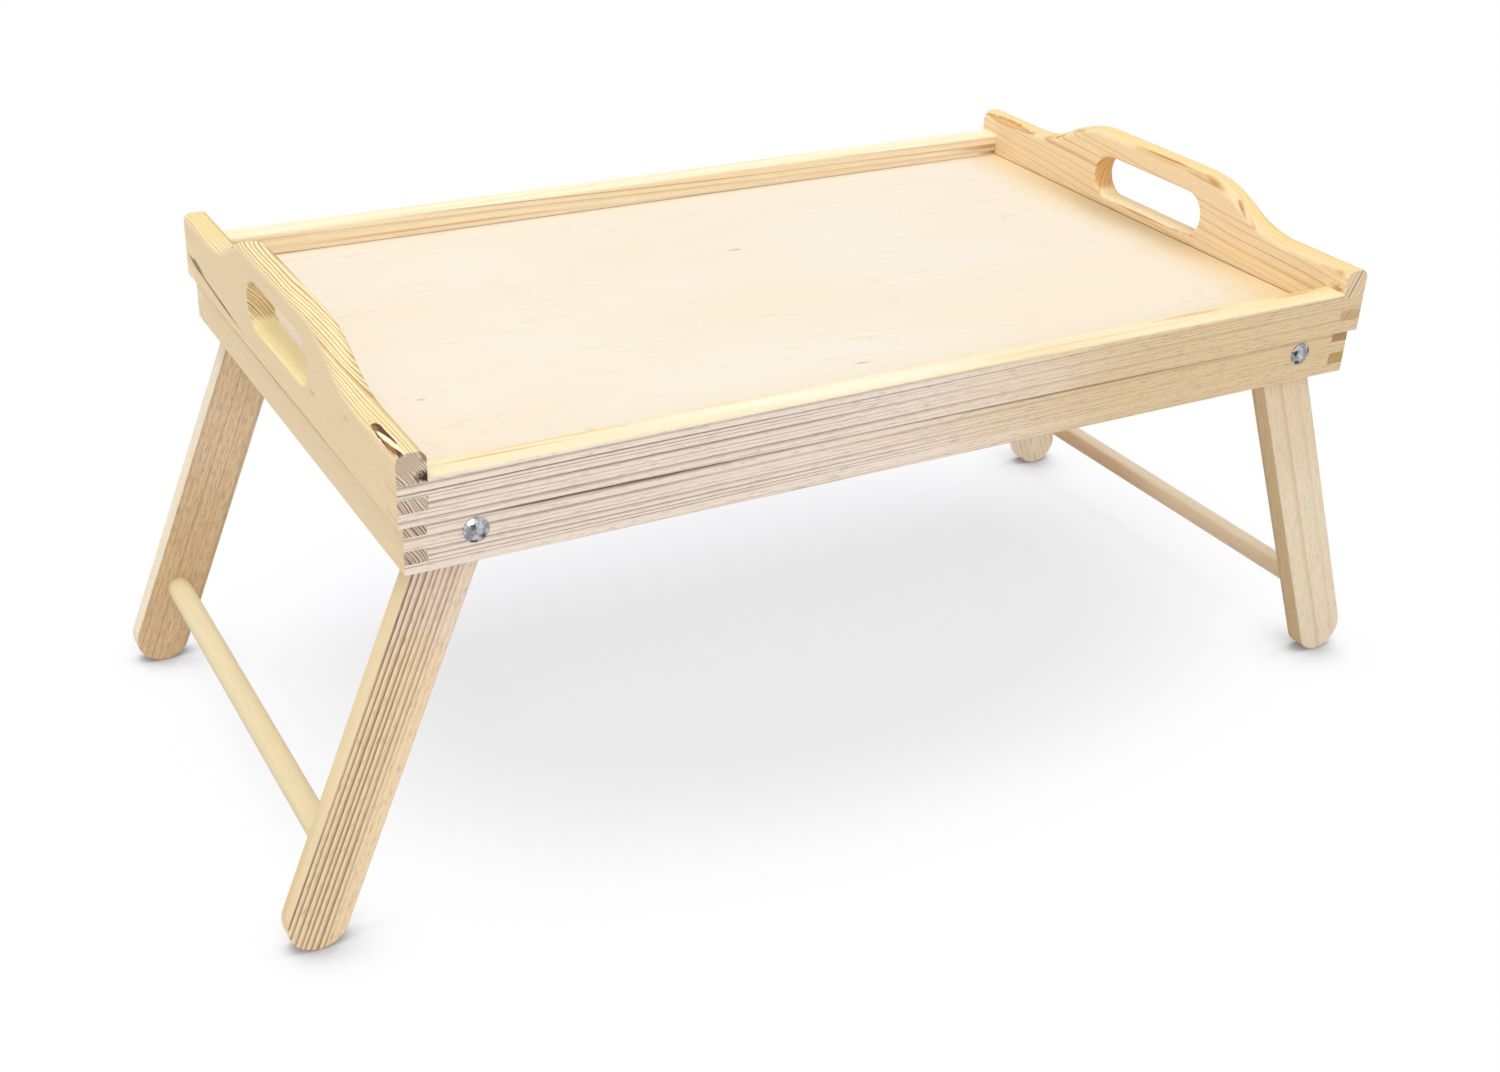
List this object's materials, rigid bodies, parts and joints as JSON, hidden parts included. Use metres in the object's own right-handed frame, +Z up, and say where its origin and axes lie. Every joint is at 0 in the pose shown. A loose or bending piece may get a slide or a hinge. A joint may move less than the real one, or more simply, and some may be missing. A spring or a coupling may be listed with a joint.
{
  "type": "folding bed tray",
  "caption": "Pine bed tray with a sunken plywood panel, raised end handles with hand-holds, and leg frames that fold flat under the panel.",
  "frame": {"origin": "on the floor, midway between the four feet, with the legs open", "axes": "+X along the tray's length, +Y from the front rail to the back rail, +Z up"},
  "size_m": [0.6024, 0.3, 0.2533],
  "materials": {
    "pine": "untreated sanded pine",
    "birch_plywood": "untreated sanded birch plywood",
    "dowel_wood": "untreated turned dowel",
    "zinc_plated_steel": "bright zinc plating"
  },
  "bodies": {
    "tray": {"front_rail": "pine", "back_rail": "pine", "left_end_board": "pine", "right_end_board": "pine", "tray_panel": "birch_plywood", "left_front_pivot_bolt": "zinc_plated_steel", "left_front_spacer_washer": "zinc_plated_steel", "left_front_nut_washer": "zinc_plated_steel", "left_front_lock_nut": "zinc_plated_steel", "left_back_pivot_bolt": "zinc_plated_steel", "left_back_spacer_washer": "zinc_plated_steel", "left_back_nut_washer": "zinc_plated_steel", "left_back_lock_nut": "zinc_plated_steel", "right_front_pivot_bolt": "zinc_plated_steel", "right_front_spacer_washer": "zinc_plated_steel", "right_front_nut_washer": "zinc_plated_steel", "right_front_lock_nut": "zinc_plated_steel", "right_back_pivot_bolt": "zinc_plated_steel", "right_back_spacer_washer": "zinc_plated_steel", "right_back_nut_washer": "zinc_plated_steel", "right_back_lock_nut": "zinc_plated_steel"},
    "left_legs": {"left_front_leg": "pine", "left_back_leg": "pine", "left_stretcher": "dowel_wood"},
    "right_legs": {"right_front_leg": "pine", "right_back_leg": "pine", "right_stretcher": "dowel_wood"}
  },
  "joints": [
    {"name": "left_leg_fold", "type": "hinge", "parent": "tray", "child": "left_legs", "pos_m": [-0.21705, 0, 0.19527], "axis": [0, -1, 0], "range_deg": [0, 111.2]},
    {"name": "right_leg_fold", "type": "hinge", "parent": "tray", "child": "right_legs", "pos_m": [0.21705, 0, 0.19527], "axis": [0, 1, 0], "range_deg": [0, 111.2]}
  ]
}
